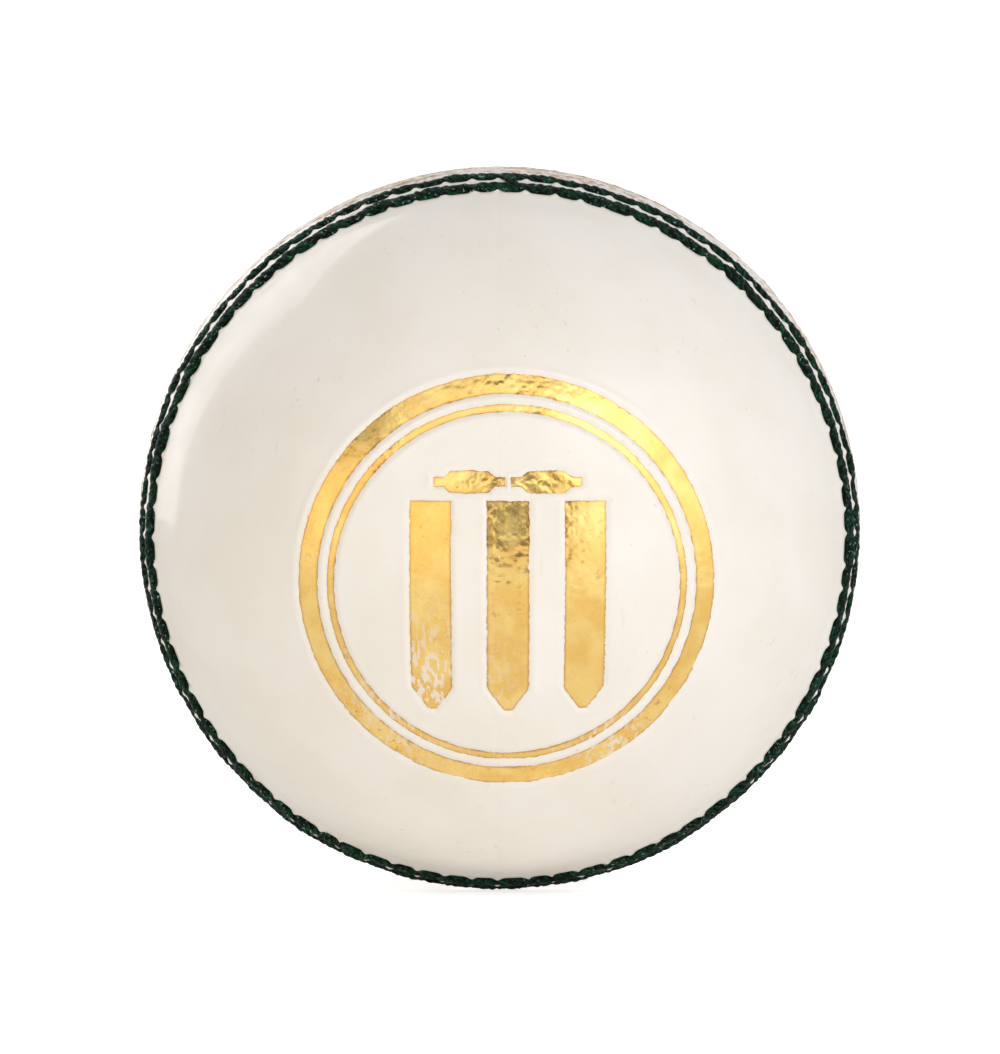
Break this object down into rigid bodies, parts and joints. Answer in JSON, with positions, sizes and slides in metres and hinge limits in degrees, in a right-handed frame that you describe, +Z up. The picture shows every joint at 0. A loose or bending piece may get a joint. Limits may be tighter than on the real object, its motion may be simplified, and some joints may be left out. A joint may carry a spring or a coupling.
{
  "type": "cricket ball",
  "caption": "White hand-stitched leather ball with a raised thread seam round a wound cork and yarn core, and a plain gold foil mark on one side.",
  "frame": {"origin": "centre of the ball", "axes": "+Y is the axis through the two cups' poles, and the seam lies in the XZ plane; the stamped front cup looks along -Y, and +Z is up"},
  "size_m": [0.0726, 0.0716, 0.0726],
  "materials": {
    "white_leather": "lacquered white alum-tanned hide, semi-gloss, very fine grain",
    "lining_leather": "undyed split leather, matt",
    "green_thread": "waxed dark green twisted linen thread",
    "natural_thread": "undyed waxed linen thread",
    "gold_foil": "hot-stamped gold foil, crinkled and glossy",
    "cork": "laid natural cork, matt",
    "cork_rubber": "moulded cork granules in rubber, matt",
    "wool_yarn": "tightly wound undyed worsted yarn"
  },
  "bodies": {
    "root": {"cork_rubber_nut": "cork_rubber", "foil_inner_ring": "gold_foil", "foil_left_bail": "gold_foil", "foil_left_stump": "gold_foil", "foil_middle_stump": "gold_foil", "foil_outer_band": "gold_foil", "foil_right_bail": "gold_foil", "foil_right_stump": "gold_foil", "front_closing_row": "natural_thread", "front_left_quarter": "white_leather", "front_middle_row": "green_thread", "front_outer_row": "green_thread", "front_quarter_seam_backing": "lining_leather", "front_quarter_seam_thread": "natural_thread", "front_right_quarter": "white_leather", "inner_cork_strip_1": "cork", "inner_cork_strip_2": "cork", "inner_cork_strip_3": "cork", "inner_cork_strip_4": "cork", "inner_yarn_winding": "wool_yarn", "middle_yarn_winding": "wool_yarn", "outer_cork_strip_1": "cork", "outer_cork_strip_2": "cork", "outer_cork_strip_3": "cork", "outer_cork_strip_4": "cork", "outer_yarn_winding": "wool_yarn", "rear_closing_row": "natural_thread", "rear_lower_quarter": "white_leather", "rear_middle_row": "green_thread", "rear_outer_row": "green_thread", "rear_quarter_seam_backing": "lining_leather", "rear_quarter_seam_thread": "natural_thread", "rear_upper_quarter": "white_leather"}
  },
  "joints": []
}
